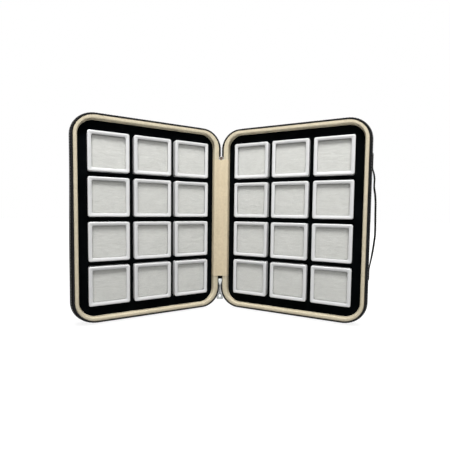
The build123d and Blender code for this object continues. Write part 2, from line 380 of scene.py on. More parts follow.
black_leather = paint("black_pebbled_leather", {"Specular IOR Level": 0.10}, pebbled_leather)
thread_shine = {"Roughness": 0.6, "Specular IOR Level": 0.25}
sewing_thread = paint("black_sewing_thread", thread_shine,
                      twisted_thread((0.035, 0.035, 0.036), (0.15, 0.15, 0.152)))
seam_thread = paint("grey_seam_thread", thread_shine,
                    twisted_thread((0.07, 0.07, 0.069), (0.26, 0.26, 0.255)))


def directions(steps):
    """Unit vectors along a line's steps, and a quarter turn to the right of them."""
    along = steps / np.linalg.norm(steps, axis=-1, keepdims=True)
    return along, stack([along[..., 1], -along[..., 0]], -1)


def outline_run(inset, growth, low, high, spacing):
    """Even points on the leaf's outline, from a height low on the hinge side round the bottom, outer
    side and top to a height high on the hinge side, with the directions along and out of it."""
    x, _, z = leaf_rings([(inset, growth, 0)], walk(40, 60, 80))[0].T
    line = np.roll(stack([x, z], -1)[:-1], -np.argmin(np.hypot(x - x.min(), z)), axis=0)
    line = np.append(line, line[:1], axis=0)
    far = np.append(0, np.cumsum(np.hypot(*np.diff(line, axis=0).T)))
    first, last = -low, far[-1] - high
    spots = linspace(first, last, int((last - first) / spacing) + 1)
    behind, here, ahead = (stack([interp(spots + step, far, axis) for axis in line.T], -1)
                           for step in (-0.2, 0, 0.2))
    return here, *directions(ahead - behind)


def filled(wave, power):
    """A sine or cosine filled out towards its extremes: raised to a power under one, sign kept."""
    return np.sign(wave) * np.abs(wave) ** power


def beads(here, along, outward, depth, half_sizes, slant=0.0, columns=9):
    """Small rounded blocks, one at each point, with half sizes along, outward and in depth."""
    rise, turn = np.meshgrid(linspace(-pi / 2, pi / 2, 5), linspace(0, 2 * pi, columns), indexing="ij")
    a = filled(cos(rise), 0.7) * filled(cos(turn), 0.7) * half_sizes[0]
    b = filled(cos(rise), 0.7) * filled(sin(turn), 0.7) * half_sizes[1]
    c = filled(sin(rise), 0.7) * half_sizes[2]
    a = a + c * slant
    here, along, outward = (line[:, None, None] for line in (here, along, outward))
    flat = here + a[..., None] * along + b[..., None] * outward
    deep = np.broadcast_to(depth + c, flat.shape[:-1])
    return stack([flat[..., 0], deep, flat[..., 1]], -1)


def swell(depth):
    """How far the side stands out at one depth: a quarter sine wave, then level."""
    share = clip((depth - swell_depths[0]) / (swell_depths[1] - swell_depths[0]), 0, 1)
    return side_swell * sin(share * pi / 2)


def pressed_out(side, points):
    """The left leaf's outer wall with its lower part pressed out by use: a smooth step down the
    wall, fading out towards the hinge and the lip."""
    if side == "right":
        return points
    low = clip((pressed_top - points[..., 2]) / pressed_height, 0, 1)
    outer = clip((points[..., 0] - leaf_reach) / pressed_reach + 1, 0, 1)
    moved = points.copy()
    moved[..., 0] += pressed_most * low ** 2 * (3 - 2 * low) * outer * swell(points[..., 1]) / side_swell
    return moved


leaf_walk = walk(14, 12, 16)
side_depths = concatenate([linspace(shell_lip, swell_depths[1], 6), [10.0, 13.0]])
leaf_middle = (leaf_reach - hinge_gap) / 2
back_insets = linspace(back_radius, leaf_middle + side_swell / 2, 26)[1:]
dome = shell_dome * sin(clip((back_insets - back_radius) / dome_reach, 0, 1) * pi / 2)
outer_points = [(0.0, d) for d in side_depths]
outer_points += quarter_turn((0.0, shell_depth - back_radius), (back_radius, shell_depth), 9)
outer_points += list(zip(back_insets, shell_depth + dome))
floor_depth = shell_depth - shell_floor
inner_points = [(shell_wall, d) for d in side_depths[::3]]
inner_points += quarter_turn((shell_wall, floor_depth - shell_floor_rise), (back_radius, floor_depth), 6)
inner_points += [(i, floor_depth) for i in back_insets[4::4]]
inset, depth = array(inner_points[::-1] + outer_points).T
shell_profile = stack([inset, swell(depth), depth], -1)

for side in ("left", "right"):
    leaf = side + "_leaf"
    skin = stand(side, pressed_out(side, leaf_rings(shell_profile, leaf_walk)))
    shell = add_piece(side + "_shell_skin", [skin], black_leather, leaf, crease=50)
    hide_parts(side + "_shell")
    here, along, outward = outline_run(0.0, swell(seam_depth), -seam_end, seam_end, stitch_pitch)
    stitches = stand(side, pressed_out(side, beads(here, along, outward, seam_depth, stitch_half)))
    add_piece(side + "_shell_seam", [stitches], seam_thread, leaf)


# The zip.
# A black nylon coil sewn to a woven tape runs along each leaf's front edge, round three sides and
# the two corners next to the hinge. The two tapes are folded and sewn together at the upper end.

coil_front = 0.3
coil_back = 2.5
coil_thickness = 1.5
coil_inset = 0.40
hinge_lean = 0.9
zip_low = -79.3
zip_high = 74.2
tooth_spacing = 1.6
tooth_half_length = 0.70
tooth_slant = 0.22
tape_spacing = 1.5
tape_profile = [(-0.50, 1.0), (-0.50, 4.4), (0.30, 4.4), (0.42, 3.4), (0.30, 2.6), (0.30, 1.5), (0.62, 1.4),
                (0.62, 1.0), (-0.50, 1.0)]
tape_end_profile = [(-0.5, 1.5), (-0.5, 2.6), (0.1, 2.6), (0.1, 1.5), (-0.5, 1.5)]
tape_end_runs = ((-69.9, -78.9), (70.8, 74.4))
tape_end_across = 2.15
fold_depth = 0.75
fold_rise = 72.5
fold_reach = (1.85, 1.45)
fold_skin = (0.5, 1.1)
fold_waviness = 0.12
fold_core_depth = 0.95
fold_core = (1.5, 0.7, 1.1)


def woven_tape(place):
    """Herringbone tape: ribs across it every half millimetre, crossed by finer threads."""
    spot = place.node("ShaderNodeUVMap", None, {"uv_map": "lengths"})
    weave = spot.waves("X", 640.0, Distortion=0.8, Detail=1.0) * 0.65 + spot.waves("Y", 1100.0) * 0.35
    return {
        "Base Color": weave.tint((0.004, 0.004, 0.005), (0.018, 0.018, 0.020)),
        "Roughness": 0.9 - weave * 0.15,
        "Normal": weave.bumps(0.8, 0.00015)}


def nylon_coil(place):
    """Smooth black nylon with a drawn grain and paler rubbed tops."""
    rubbed = place.noise(160.0, 5.0)
    return {
        "Base Color": rubbed.between(0.4, 0.7).tint((0.002, 0.002, 0.003), (0.011, 0.011, 0.012)),
        "Roughness": 0.34 + rubbed * 0.22,
        "Normal": place.noise(3000.0, 2.0).bumps(0.5, 0.00004)}


def folded_tape(place):
    """The folded ends of the tape, rubbed to a dull pinkish grey."""
    weave = place.waves("Z", 560.0, Distortion=2.0, Detail=2.0)
    return {
        "Base Color": weave.tint((0.10, 0.068, 0.055), (0.42, 0.34, 0.29)),
        "Normal": weave.bumps(0.8, 0.00012)}


tape_cloth = paint("black_zip_tape", {"Specular IOR Level": 0.15, "Sheen Weight": 0.05}, woven_tape)
coil_nylon = paint("black_nylon_coil", {"Specular IOR Level": 0.14}, nylon_coil)
fold_cloth = paint("folded_tape_end", {"Roughness": 0.85, "Specular IOR Level": 0.2}, folded_tape)


def ribbon(here, outward, profile):
    """A closed profile of (outward, depth) points carried along a line on the outline."""
    out, deep = array(profile).T
    flat = here[None] + out[:, None, None] * outward[None]
    return at_depths(flat[..., 0], deep, flat[..., 1])


def capped(tube):
    """A tube of closed profiles with each open end drawn together to a point."""
    ends = [tube[:, i:i + 1].mean(axis=0, keepdims=True).repeat(len(tube), axis=0) for i in (0, -1)]
    return concatenate([ends[0], tube, ends[1]], axis=1)


def leaned(points, most):
    """Points moved towards the hinge: most at the hinge side, evenly less to none at the outer."""
    return points - most * clip((leaf_reach - points) / (leaf_reach - hinge_gap), 0, 1)


coil_middle = (coil_front + coil_back) / 2
tooth_half = (tooth_half_length, coil_thickness / 2, (coil_back - coil_front) / 2)
for side in ("left", "right"):
    leaf = side + "_leaf"
    here, along, outward = outline_run(coil_inset, 0.0, zip_low, zip_high, tooth_spacing)
    here[:, 0] = leaned(here[:, 0], hinge_lean)
    teeth = beads(here[1:-1], along[1:-1], outward[1:-1], coil_middle, tooth_half, slant=tooth_slant)
    coil = add_piece(side + "_zip_coil", [stand(side, teeth)], coil_nylon, leaf, crease=60)
    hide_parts(side + "_zip")
    here, along, outward = outline_run(coil_inset, 0.0, zip_low, zip_high, tape_spacing)
    here[:, 0] = leaned(here[:, 0], hinge_lean / 2)
    tapes = [stand(side, capped(ribbon(here, outward, tape_profile)))]
    for first, last in tape_end_runs:
        beside = stack([full(8, tape_end_across), linspace(first, last, 8)], -1)
        end = ribbon(beside, np.tile((-1.0, 0.0), (8, 1)), tape_end_profile)
        tapes.append(stand(side, capped(end)))
    tape = add_piece(side + "_zip_tape", tapes, tape_cloth, leaf)
    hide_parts(side + "_zip")

roll_turn, skin_turn = np.meshgrid(linspace(0, 2 * pi, 33), linspace(0, 2 * pi, 13), indexing="ij")
roll_skin = fold_skin[0] * filled(cos(skin_turn), 0.7)
roll_deep = fold_skin[1] * filled(sin(skin_turn), 0.6)
roll_points = stack([
    (fold_reach[0] + roll_skin) * cos(roll_turn),
    fold_depth + roll_deep + fold_waviness * sin(3 * roll_turn),
    fold_rise + (fold_reach[1] + roll_skin) * sin(roll_turn)], -1)
core_skin = linspace(-1, 1, 13)
core_round = sqrt(1 - core_skin ** 2)
core_points = stack([
    fold_core[0] * core_round * cos(roll_turn),
    fold_core_depth + fold_core[1] * core_skin + 0 * roll_turn,
    fold_rise + fold_core[2] * core_round * sin(roll_turn)], -1)
fold_grids = [(points + hinge_place) * mm for points in (roll_points, core_points)]
fold = add_piece("zip_closed_end", fold_grids, fold_cloth, None)
hinge_front = array(hinge_place) * mm
reach_across = array((0.0028, 0, 0))
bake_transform(fold)
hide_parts("left_zip")


# The foam inserts.
# A block of foam covered in black velvet fills each shell, with twelve square pockets pressed in
# for the boxes. The velvet turns down softly into the pockets and swallows nearly all light.

box_side = 40.0
box_pitch = (44.6, 45.2)
first_column = 36.6
columns = 3
rows = 4
pocket_side = 40.6
pocket_corner = 2.3
pocket_lip = 1.2
wall_depths = (11.0, 16.2)
pocket_floor = 17.0
floor_halves = (19.5, 12.0, 0.0)
velvet_depth = 7.4
velvet_dip = 0.25
insert_inset = 1.5
side_turn_depths = (12.0, 15.5)
insert_back_inset = 6.0
insert_back = 20.0


def black_velvet(place):
    """Short pile that leans in patches: each lean changes the roughness and, as a painted sheen, the colour;
    fibres break it up.
    """
    fibre = place.noise(5200.0, 2.0)
    brushed = place.noise(55.0, 4.0, Distortion=0.6).between(0.40, 0.66) * 0.7 + fibre * 0.3
    return {
        # The colour holds a painted sheen: paler where the pile leans.
        "Base Color": brushed.tint((0.0004, 0.0008, 0.0010), (0.0022, 0.0030, 0.0034)),
        "Roughness": 1.0 - brushed * 0.15,
        "Normal": fibre.bumps(0.8, 0.00012)}


velvet = paint("black_velvet", {
    "Specular IOR Level": 0.02, "Sheen Weight": 0.01, "Sheen Roughness": 0.5,
    "Sheen Tint": (0.6, 0.75, 0.8, 1)}, black_velvet)

cell_steps = 8
pocket_half = pocket_side / 2
lip_start, lip_end = (pocket_half + pocket_lip, velvet_depth), (pocket_half, velvet_depth + pocket_lip)
lip = quarter_turn(lip_start, lip_end, 6, hollow=True)
cell_profile = [(box_pitch[0] / 2, box_pitch[1] / 2, 0.0, velvet_depth)]
cell_profile += [(half, half, pocket_corner + half - pocket_half, deep) for half, deep in lip]
cell_profile += [(pocket_half, pocket_half, pocket_corner, deep) for deep in wall_depths]
cell_profile += [(half, half, half * 0.1, pocket_floor) for half in floor_halves]
cell = rings(cell_profile, walk(6, cell_steps, cell_steps))

grid_left = first_column - box_pitch[0] / 2
grid_right = grid_left + columns * box_pitch[0]
grid_half = rows / 2 * box_pitch[1]
border_walk = walk(6, columns * cell_steps, rows * cell_steps)
inner_x, inner_z = rounded(grid_left, grid_right, -grid_half, grid_half, 0.0, border_walk)
side_low = (insert_inset, side_turn_depths[1])
border_depths = [(insert_inset, 0.0, depth) for depth in (velvet_depth, *side_turn_depths)]
border_depths += [(i, 0.0, d) for i, d in quarter_turn(side_low, (insert_back_inset, insert_back), 5)[1:]]
border_depths += [(i, 0.0, insert_back) for i in linspace(insert_back_inset, leaf_middle, 6)[1:]]
outer_rings = leaf_rings(border_depths, border_walk)
reach = linspace(0, 1, 7)[:, None, None]
border = (1 - reach) * at_depths(inner_x, [velvet_depth], inner_z) + reach * outer_rings[0]
border[..., 1] -= velvet_dip * sin(reach[..., 0] * pi)

box_spots = [(chr(ord("a") + column) + str(row + 1), first_column + column * box_pitch[0],
              ((rows - 1) / 2 - row) * box_pitch[1]) for column in range(columns) for row in range(rows)]
cells = stack([cell + (x, 0, z) for _, x, z in box_spots])
for side in ("left", "right"):
    grids = [stand(side, grid) for grid in (cells, border, outer_rings)]
    insert = add_piece(side + "_velvet_insert", grids, velvet, side + "_leaf", crease=60)
    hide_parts(side + "_insert")


# The padded rims.
# A roll of foam covered in pale beige leatherette is glued round the border of each insert. It is
# full and round in front, and the skin gathers in small wrinkles inside the corners.

rim_outer = 1.15
rim_width = 3.9
rim_front = 1.0
rim_crown_base = 3.5
rim_back = 7.4
rim_easing = 1.2
rim_lean = 0.6
rim_hinge_spread = 1.6
rim_stretch = 0.0025
rim_top_spread = 0.0050
wrinkle_height = 0.14
wrinkle_waves = 26


def pale_leatherette(light, dark):
    """Fine even grain of about 0.4 mm, faint soiling in patches and soft creases."""
    def drawn(place):
        grain = place.cells(2600.0, Smoothness=0.4).between(0.1, 0.7)
        soil = place.noise(38.0, 5.0, Roughness=0.6)
        crease = place.noise(420.0, 3.0, Distortion=0.9)
        shade = soil.between(0.40, 0.75) * 0.30 + grain * 0.25 + crease.between(0.38, 0.66) * 0.45
        height = (1 - grain) * 0.35 + crease * 0.65
        return {
            "Base Color": shade.tint(light, dark),
            "Roughness": 0.50 + grain * 0.15 + soil * 0.10,
            "Normal": height.bumps(0.8, 0.00022)}
    return drawn


rim_skin = paint("beige_rim_leatherette", {"Specular IOR Level": 0.35},
                 pale_leatherette((0.72, 0.645, 0.475), (0.56, 0.49, 0.35)))

rim_middle = rim_outer + rim_width / 2
crown_turn = linspace(0, pi, 19)
crown_inset = rim_middle + rim_width / 2 * filled(cos(crown_turn), 0.52)
crown_depth = rim_crown_base - (rim_crown_base - rim_front) * filled(sin(crown_turn), 0.55)
rim_inset = concatenate([[rim_middle, rim_outer + rim_width], crown_inset, [rim_outer, rim_middle]])
rim_depth = np.pad(crown_depth, 2, constant_values=rim_back)
rim_profile = stack([rim_inset, rim_inset * 0, rim_depth], -1)
rim_walk = walk(24, 40, 52)
inward = clip((rim_inset - rim_outer) / rim_width, 0, 1)
rim = leaf_rings(rim_profile, rim_walk, rim_easing * inward)
inward = inward[:, None]
rim[..., 0] = leaned(rim[..., 0], rim_lean - (rim_lean + rim_hinge_spread) * inward)
rim[..., 2] *= 1 + rim_stretch * (1 - inward) - rim_top_spread * inward * (rim[..., 2] > 0)
corner_share = sin(2 * rim_walk[2]) ** 2
inner_share = clip((rim_inset - rim_middle) / (rim_width / 2), 0, 1) * (rim_depth < 5.0)
rim[..., 1] += wrinkle_height * corner_share * inner_share[:, None] * sin(wrinkle_waves * rim_walk[2])
for side in ("left", "right"):
    roll = add_piece(side + "_padded_rim", [stand(side, rim)], rim_skin, side + "_leaf", crease=60)
    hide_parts(side + "_rim")


# The display boxes.
# Each is a white moulded tray with a foam pad under pale cloth, closed by a push-on lid: a white
# frame with a clear pane seated behind it. Twenty-four of them stand in the pockets.

box_corner = 2.0
box_half = box_side / 2
frame_front = 1.0
frame_crest = 1.0
frame_edge_depth = 1.75
window_inset = 3.6
window_drop = 0.6
lid_seam = 9.0
seam_ease = 0.15
skirt_inset = 1.2
pane_depths = (2.4, 3.4)
pane_inset = 1.4
inner_corner = 0.8
tray_ease = 0.2
tray_upstand = (1.4, 2.6)
tray_lip = 5.0
tray_floor = 15.8
box_back = 17.0
pad_inset = 2.8
pad_front = 4.0
pad_dish = 0.35
pad_edge = (1.1, 1.3)
pad_tip = 0.006
pad_bulge = 0.12


def white_moulding(place):
    """Glossy white styrene: faint flow marks, fine scratches and a little dust-grey."""
    flow = place.noise(60.0, 3.0, Distortion=1.2)
    scratch = place.stretched(3.0, 3.0, 60.0).noise(60.0, 4.0)
    return {
        "Base Color": flow.between(0.45, 0.8).tint((0.72, 0.722, 0.72), (0.67, 0.672, 0.67)),
        "Roughness": 0.28 + scratch * 0.16,
        "Normal": (flow * 0.7 + scratch * 0.3).bumps(0.25, 0.00006)}


def clear_pane(place):
    """Clear styrene: nearly all light goes through, a film of fine scratches stays."""
    haze = place.noise(90.0, 6.0, Roughness=0.7)
    return {"Alpha": 0.05 + haze.between(0.45, 0.9) * 0.05, "Roughness": 0.06 + haze * 0.10}


def linen_pad(place):
    """Plain weave of slightly uneven threads, two to the millimetre, with soft creases."""
    spot = place.node("ShaderNodeUVMap", None, {"uv_map": "lengths"})
    uneven = {"Distortion": 3.0, "Detail": 3.0, "Detail Scale": 0.4}
    warp = spot.waves("X", 640.0, **uneven)
    weave = warp.math("MAXIMUM", warp, spot.waves("Y", 560.0, **uneven))
    crease = spot.stretched(0.35, 1.0, 1.0).noise(340.0, 4.0, Distortion=0.8)
    shade = (1 - weave) * 0.35 + crease.between(0.35, 0.70) * 0.40 + place.noise(60.0, 2.0) * 0.25
    return {
        "Base Color": shade.tint((0.71, 0.71, 0.67), (0.565, 0.565, 0.53)),
        "Roughness": 0.9 - weave * 0.12,
        "Normal": (weave * 0.12 + crease * 0.88).bumps(1.0, 0.00045)}


frame_plastic = paint("white_frame_moulding", {"Specular IOR Level": 0.5, "IOR": 1.5}, white_moulding)
tray_plastic = paint("white_tray_moulding", {"Specular IOR Level": 0.4, "IOR": 1.5}, white_moulding)
pane_plastic = paint("clear_pane", {"Base Color": (0.96, 0.98, 0.98, 1), "IOR": 1.5}, clear_pane)
pad_cloth = paint("pale_linen_pad", {"Specular IOR Level": 0.15, "Sheen Weight": 0.1}, linen_pad)

box_walk = walk(5, 4, 4)
pad_walk = walk(6, 10, 10)


def box_rings(profile, route):
    """Squares drawn in from the box's side: an (inset, radius, depth) for each."""
    return rings([(box_half - i, box_half - i, radius, depth) for i, radius, depth in profile], route)


def frame_radius(inset):
    """The corner radius of the white frame: round outside, nearly square at the window."""
    return box_corner - inset if inset <= skirt_inset else inner_corner + (inset - skirt_inset) * 0.3


frame_points = [(0.0, lid_seam - seam_ease), (0.0, 5.0)]
frame_points += quarter_turn((0.0, frame_edge_depth), (frame_crest, frame_front), 8)
frame_points += [(frame_crest + (window_inset - frame_crest) * a, frame_front + window_drop * a ** 2.2)
                 for a in linspace(0, 1, 10)[1:]]
frame_points += [(window_inset, pane_depths[0]), (skirt_inset, pane_depths[0]), (skirt_inset, lid_seam)]
frame_points += [(seam_ease, lid_seam), (0.0, lid_seam - seam_ease)]
frame_grid = box_rings([(inset, frame_radius(inset), depth) for inset, depth in frame_points], box_walk)

eased_inset = pane_inset + seam_ease
pane_front, pane_back = pane_depths
pane_points = [
    (box_half, 0.0, pane_front), (eased_inset, inner_corner, pane_front),
    (pane_inset, inner_corner, pane_front + seam_ease), (pane_inset, inner_corner, pane_back - seam_ease),
    (eased_inset, inner_corner, pane_back), (box_half, 0.0, pane_back)]
pane_grid = box_rings(pane_points, box_walk)

tray_points = [(box_half, 0.0, box_back), (6.0, 1.0, box_back)]
back_edge = quarter_turn((0.0, box_back - 1), (1.0, box_back), 5)[::-1] + [
    (0.0, lid_seam + tray_ease), (tray_ease, lid_seam)]
tray_points += [(i, box_corner - i, d) for i, d in back_edge]
upstand_outer, upstand_inner = tray_upstand
tray_points += [(i, inner_corner, d) for i, d in (
    (upstand_outer, lid_seam), (upstand_outer, tray_lip + tray_ease),
    (upstand_outer + tray_ease, tray_lip), (upstand_inner, tray_lip),
    (upstand_inner, tray_floor))]
tray_points.append((box_half, 0.0, tray_floor))
tray_grid = box_rings(tray_points, box_walk)

pad_turn = linspace(0, pi / 2, 9)
pad_insets = concatenate([
    [17.0, pad_inset + 0.9, pad_inset], pad_inset + pad_edge[0] * (1 - cos(pad_turn)),
    linspace(pad_inset + pad_edge[0], box_half, 10)[1:]])
pad_depths = concatenate([
    [tray_floor, tray_floor, 14.6],
    pad_front + pad_dish + pad_edge[1] * (1 - sin(pad_turn)),
    pad_front + pad_dish * linspace(1, 0, 10)[1:] ** 2])
pad_radii = clip(2.4 - 0.12 * (pad_insets - pad_inset), 0.0, np.maximum(box_half - pad_insets, 0.0))
pad_grid = box_rings([(box_half, 0.0, tray_floor), *zip(pad_insets, pad_radii, pad_depths)], pad_walk)
pad_random = np.random.default_rng(24)

for side in ("left", "right"):
    for label, x, z in box_spots:
        node = side + "_" + label
        spot = array((x, 0, z))
        lid_frame = add_piece(node + "_frame", [stand(side, frame_grid + spot)], frame_plastic, node + "_lid")
        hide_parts(node + "_lid")
        pane = add_piece(node + "_pane", [stand(side, pane_grid + spot)], pane_plastic, node + "_lid")
        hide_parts(node + "_lid")
        tray_here = [stand(side, tray_grid + spot)]
        tray = add_piece(node + "_tray_moulding", tray_here, tray_plastic, node + "_tray")
        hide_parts(node + "_tray")
        tip = pad_random.uniform(-pad_tip, pad_tip, 2)
        bulge = pad_random.uniform(0.0, pad_bulge)
        pad_here = pad_grid.copy()
        lifted = clip((12.0 - pad_here[..., 1]) / 7.0, 0, 1)
        pad_here[..., 1] += lifted * (pad_here[..., 0] * tip[0] + pad_here[..., 2] * tip[1] + bulge)
        pad = add_piece(node + "_pad", [stand(side, pad_here + spot)], pad_cloth, node + "_tray",
                        maps=[(pad_here + spot)[..., (0, 2)] * mm], crease=70)
        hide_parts(node + "_tray")


# The hinge strip.
# Inside, a beige strip lies over both rims and hides the joint between the leaves; it is glued
# down beside the velvet. Outside, a black leatherette band joins the two shells behind the hinge.

strip_high = 70.5
lining_low = -68.7
lining_reach = 6.4
lining_depth = 0.6
lining_bend = 1.7
lining_tail = 6.3
lining_half = 0.28
crease_softness = 1.1
cover_low = -73.5
cover_across = 0.95
cover_depths = (6.6, 15.8)
corner_depth = 5.35
corner_reach = 1.1
cover_set_back = 0.45
cover_half = 0.33


def beside_hinge(across, depth):
    """Plan of a point of the right leaf, seen from the hinge."""
    turn = radians(leaf_angle)
    return across * cos(turn) + depth * sin(turn), depth * cos(turn) - across * sin(turn)


def mirrored_plan(x, y):
    """A strip's plan from its right half, which runs from the middle outwards."""
    return concatenate([-x[:0:-1], x]), concatenate([y[:0:-1], y])


def upright_band(plan_x, plan_y, rise, half_thick, slack):
    """A closed band of one thickness on a plan line, between heights; slack moves it forward."""
    _, right = directions(np.gradient(stack([plan_x, plan_y], -1), axis=0))
    rise = rise[:, None]
    faces = []
    for half in (-half_thick, half_thick):
        x = plan_x + half * right[:, 0] + 0 * rise
        y = plan_y + half * right[:, 1] - slack + 0 * rise
        faces.append(stack([x, y, rise + 0 * x], -1))
    loop = concatenate([faces[0], faces[1][:, ::-1], faces[0][:, :1]], axis=1)
    ends = [stack([faces[0][i], faces[1][i]]) for i in (0, -1)]
    return [(grid + hinge_place) * mm for grid in (loop, *ends)]


bend = linspace(0, pi / 2, 9)[1:]
bend_depth = lining_depth + lining_bend
lining_s = concatenate([
    linspace(0.0, lining_reach, 14), lining_reach + lining_bend * sin(bend),
    full(5, lining_reach + lining_bend)])
lining_d = concatenate([
    full(14, lining_depth), bend_depth - lining_bend * cos(bend),
    linspace(bend_depth, lining_tail, 6)[1:]])
plan_x, plan_y = beside_hinge(lining_s, lining_d)
turn = radians(leaf_angle)
plan_x[:14] = linspace(0.0, plan_x[13], 14)
plan_y[:14] = lining_depth / cos(turn) - tan(turn) * sqrt(plan_x[:14] ** 2 + crease_softness)
lining_x, lining_y = mirrored_plan(plan_x, plan_y)
lining_rise = linspace(lining_low, strip_high, 61)
ripple = 0.10 * sin(lining_rise / 11.0) + 0.06 * sin(lining_rise / 4.3 + 1.0)
lining_slack = ripple[:, None] * cos(clip(lining_x / 6.0, -1, 1) * pi / 2)
lining_skin = paint("beige_hinge_strip", {"Specular IOR Level": 0.25},
                    pale_leatherette((0.76, 0.65, 0.46), (0.62, 0.52, 0.36)))
band = upright_band(lining_x, lining_y, lining_rise, lining_half, lining_slack)
lining = add_piece("hinge_lining", band, lining_skin, None, crease=60)
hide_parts("hinge_strip")
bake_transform(lining)
lining_width = float(np.hypot(np.diff(lining_x), np.diff(lining_y)).sum()) * mm

wall_x, wall_y = beside_hinge(full(12, cover_across), linspace(*cover_depths, 12))
corner_x, corner_y = beside_hinge(cover_across, corner_depth)
start_x, back_y = corner_x - corner_reach, corner_y + cover_set_back
turn_share = linspace(0, 1, 7)[:-1]
start_share, middle_share = (1 - turn_share) ** 2, 2 * turn_share * (1 - turn_share)
turn_x = start_share * start_x + middle_share * corner_x + turn_share ** 2 * wall_x[0]
turn_y = start_share * back_y + middle_share * back_y + turn_share ** 2 * wall_y[0]
plan_x = concatenate([linspace(0.0, start_x, 6)[:-1], turn_x, wall_x])
plan_y = concatenate([full(5, back_y), turn_y, wall_y])
cover_x, cover_y = mirrored_plan(plan_x, plan_y)
cover_rise = linspace(cover_low, strip_high, 41)
band = upright_band(cover_x, cover_y, cover_rise, cover_half, 0.0)
cover = add_piece("hinge_cover", band, black_leather, None, crease=60)
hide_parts("hinge_strip")
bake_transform(cover)
cover_width = float(np.hypot(np.diff(cover_x), np.diff(cover_y)).sum()) * mm


# The slider and its pull tab.
# Nickel-plated zinc: a cast body, narrower below, with a groove down each side rides on the coil,
# and a flat tab that widens like a bell hangs by its wire eye from the bored lug behind it.

slider_top = -72.5
slider_low = -78.7
slider_half_width = 2.2
slider_edge = 0.5
slider_waist = 0.80
waist_drop = 2.2
slider_shoulder = 0.35
shoulder_drop = 1.6
lug_place = (3.0, -75.3)
lug_radius = 2.3
lug_root = 0.9
lug_face = 2.2
bore_radius = 0.9
lug_half_width = 1.0
lug_edge = 0.25
gather_inner = 0.62
gather_outer = 2.75
gather_fold = 0.85
gather_half = 0.2
eye_half_width = 1.55
eye_low = -3.2
eye_corner = 0.8
eye_wire_radius = 0.34
tab_drops = (3.1, 8.6, 12.2, 15.2, 18.2, 20.6, 23.1)
tab_half_widths = (0.72, 0.58, 0.80, 1.50, 2.75, 3.85, 4.0)
tab_corner = 1.3
tab_half = 0.5
tab_edge = 0.22
tab_hole_drop = 18.8
tab_hole_radius = 1.6


def nickel_plate(light, dark):
    """Nickel plate brushed along its length, with tiny pits and duller patches."""
    def drawn(place):
        brushed = place.stretched(8.0, 8.0, 0.6).noise(900.0, 3.0)
        dull = place.noise(420.0, 5.0)
        return {
            "Base Color": dull.between(0.35, 0.7).tint(light, dark),
            "Roughness": 0.26 + brushed * 0.16 + dull * 0.10,
            "Normal": (brushed * 0.6 + dull * 0.4).bumps(0.3, 0.00004)}
    return drawn


def bored_plate(hole, hole_radius, outline, half_thick, edge):
    """A flat plate with a round hole, from straight lines between the hole and the closed outline,
    with both rims eased. Gives two flat coordinates and a thickness."""
    ray, _ = directions(outline - hole)
    ahead = np.roll(outline[:-1], -1, axis=0) - np.roll(outline[:-1], 1, axis=0)
    _, outward = directions(np.append(ahead, ahead[:1], axis=0))
    outward *= np.sign((outward * ray).sum(axis=1).mean())
    eased = quarter_turn((0.0, half_thick - edge), (edge, half_thick), 4)
    rows = [(hole + ray * (hole_radius + inset), rise) for inset, rise in eased]
    rows += [(rows[-1][0] * (1 - t) + (outline - edge * outward) * t, half_thick) for t in (0.35, 0.7)]
    rows.append((outline - 1.25 * edge * outward, half_thick))
    rows += [(outline - inset * outward, rise) for inset, rise in eased[::-1]]
    flat = stack([row for row, _ in rows + rows[::-1] + rows[:1]])
    thick = array([rise for _, rise in rows] + [-rise for _, rise in rows[::-1]] + [rows[0][1]])
    return flat[..., 0], flat[..., 1], thick[:, None] + 0 * flat[..., 0]


metal = {"Metallic": 1.0}
bright_nickel = paint("bright_nickel", metal, nickel_plate((0.66, 0.69, 0.69), (0.48, 0.50, 0.50)))
worn_nickel = paint("worn_nickel", metal, nickel_plate((0.40, 0.42, 0.42), (0.26, 0.27, 0.27)))

end_insets, end_rises = array(quarter_turn((0.0, slider_edge), (slider_edge, 0.0), 5)).T
slider_rise = concatenate([
    [slider_low], slider_low + end_rises[::-1],
    linspace(slider_low + slider_edge, slider_top - slider_edge, 14)[1:-1],
    slider_top - end_rises, [slider_top]])
all_the_way = [9.0]
drawn_in = concatenate([all_the_way, end_insets[::-1], np.zeros(12), end_insets, all_the_way])[:, None]
waist_top = slider_top - waist_drop
narrowing = clip((waist_top - slider_rise) / (waist_top - slider_low), 0, 1)
shoulder = clip(1 - (slider_top - slider_rise) / shoulder_drop, 0, 1)
slider_half = slider_half_width - slider_waist * sin(narrowing * pi / 2) ** 2
slider_half -= slider_shoulder * shoulder ** 2
# One quarter of the cross-section, from the floor of the groove round to the middle of the face:
# share of the half width, what is taken off it, and depth.
quarter = array([
    (1, 0.8, 0), (1, 0.8, 0.40), (1, 0.1, 0.48), (1, 0, 0.58), (1, 0, 1.0), (1, 0.1, 1.18),
    (1, 0.28, 1.3), (0.5, 0, 1.34), (0, 0, 1.36)])
back = quarter[-2::-1]
section = concatenate([quarter, back * (-1, 1, 1), quarter[1:] * (-1, 1, -1), back * (1, 1, -1)])
section_share, section_offset, section_depth = section.T
slider_across = np.sign(section_share) * np.maximum(
    np.abs(section_share) * slider_half[:, None] - section_offset - drawn_in, 0)
slider_deep = np.sign(section_depth) * np.maximum(np.abs(section_depth) - drawn_in, 0)
slider_body = stack([slider_across, slider_deep, slider_rise[:, None] + 0 * slider_across], -1)

